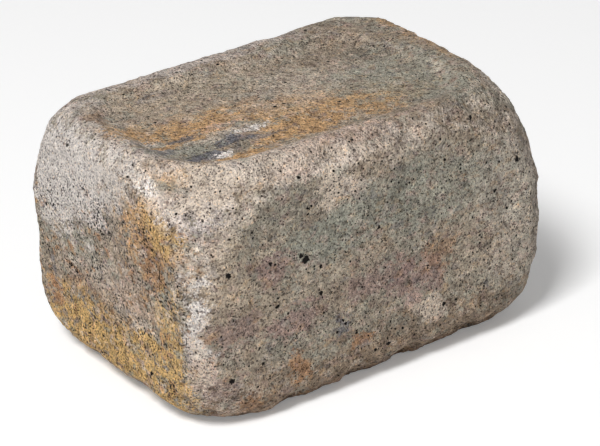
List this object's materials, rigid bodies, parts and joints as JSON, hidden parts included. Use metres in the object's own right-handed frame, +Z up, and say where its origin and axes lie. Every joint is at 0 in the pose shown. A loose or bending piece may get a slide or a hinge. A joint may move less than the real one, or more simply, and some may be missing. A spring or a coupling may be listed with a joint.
{
  "type": "concrete wall block",
  "caption": "Tumbled rectangular concrete wall block with worn arrises, knocked-off corners and a shallow dish in its top bed.",
  "frame": {"origin": "centre of the bottom bed", "axes": "+X along the length, +Y from the front side to the back side, +Z up from the bottom bed to the top bed"},
  "size_m": [0.25, 0.18, 0.15],
  "materials": {
    "concrete": "tumbled coloured concrete, matt, sandy, with open pores"
  },
  "bodies": {
    "root": {"wall_block": "concrete"}
  },
  "joints": []
}
